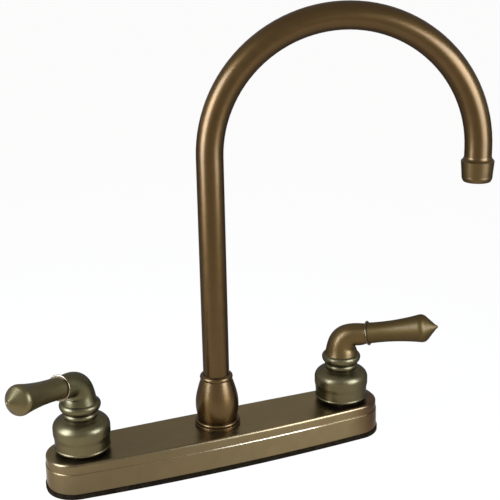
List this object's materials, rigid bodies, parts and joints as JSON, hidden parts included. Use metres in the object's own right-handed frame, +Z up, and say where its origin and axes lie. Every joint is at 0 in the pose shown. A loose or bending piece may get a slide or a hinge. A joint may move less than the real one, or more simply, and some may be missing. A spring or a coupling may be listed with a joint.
{
  "type": "two handle kitchen faucet",
  "caption": "Deck mounted kitchen faucet with a swivelling high arc spout, a vase-shaped hub, a long deck plate and teapot lever handles that open ceramic disc valves.",
  "frame": {"origin": "on the spout's swivel axis, in the plane of the gasket's underside, where the faucet sits on the deck", "axes": "+X along the deck plate to the cold handle, -Y towards the user, +Z up along the spout's swivel axis"},
  "size_m": [0.3475, 0.0912, 0.3778],
  "materials": {
    "bronze_plate": "satin oil-rubbed bronze finish over die cast metal",
    "bronze_tube": "satin oil-rubbed bronze finish over brass",
    "bronze_trim": "satin oil-rubbed bronze finish over brass",
    "bronze_olive": "satin oil-rubbed bronze finish over die cast metal",
    "bronze_lever": "satin oil-rubbed bronze finish over die cast metal",
    "bronze_ring": "brighter polished bronze",
    "raw_brass": "machined",
    "copper": "drawn tube",
    "zinc_steel": "zinc plated",
    "spring_steel": "plain stainless",
    "black_rubber": "matt",
    "acetal": "moulded",
    "ceramic": "lapped"
  },
  "bodies": {
    "deck": {"deck_plate": "bronze_plate", "deck_gasket": "black_rubber", "spout_body": "raw_brass", "spout_trim_ring": "bronze_trim", "spout_hub": "bronze_trim", "spout_thrust_washer": "acetal", "spout_retaining_ring": "spring_steel", "hot_valve_body": "raw_brass", "hot_waterway_tube": "copper", "hot_plate_nut": "raw_brass", "hot_bonnet_nut": "raw_brass", "hot_mounting_washer": "zinc_steel", "hot_mounting_nut": "raw_brass", "hot_seat_seal": "black_rubber", "hot_fixed_disc": "ceramic", "hot_cartridge_body": "acetal", "cold_valve_body": "raw_brass", "cold_waterway_tube": "copper", "cold_plate_nut": "raw_brass", "cold_bonnet_nut": "raw_brass", "cold_mounting_washer": "zinc_steel", "cold_mounting_nut": "raw_brass", "cold_seat_seal": "black_rubber", "cold_fixed_disc": "ceramic", "cold_cartridge_body": "acetal"},
    "spout": {"spout_tube": "bronze_tube", "spout_plug": "raw_brass", "spout_orings": "black_rubber", "outlet_collar": "bronze_tube", "aerator_shell": "bronze_tube", "aerator_washer": "black_rubber", "aerator_insert": "acetal", "aerator_screen": "spring_steel"},
    "hot_handle": {"hot_turning_disc": "ceramic", "hot_stem": "raw_brass", "hot_stem_orings": "black_rubber", "hot_handle_bell": "bronze_olive", "hot_set_screw": "spring_steel", "hot_lever_elbow": "bronze_olive", "hot_lever_ring": "bronze_ring", "hot_lever_grip": "bronze_lever"},
    "cold_handle": {"cold_turning_disc": "ceramic", "cold_stem": "raw_brass", "cold_stem_orings": "black_rubber", "cold_handle_bell": "bronze_olive", "cold_set_screw": "spring_steel", "cold_lever_elbow": "bronze_olive", "cold_lever_ring": "bronze_ring", "cold_lever_grip": "bronze_lever"}
  },
  "joints": [
    {"name": "spout_swivel", "type": "hinge", "parent": "deck", "child": "spout", "pos_m": [0, 0, 0.0441], "axis": [0, 0, 1], "continuous": true},
    {"name": "hot_turn", "type": "hinge", "parent": "deck", "child": "hot_handle", "pos_m": [-0.1016, 0, 0.0282], "axis": [0, 0, 1], "range_deg": [-39, 51]},
    {"name": "cold_turn", "type": "hinge", "parent": "deck", "child": "cold_handle", "pos_m": [0.1016, 0, 0.0282], "axis": [0, 0, 1], "range_deg": [-50, 40]}
  ]
}
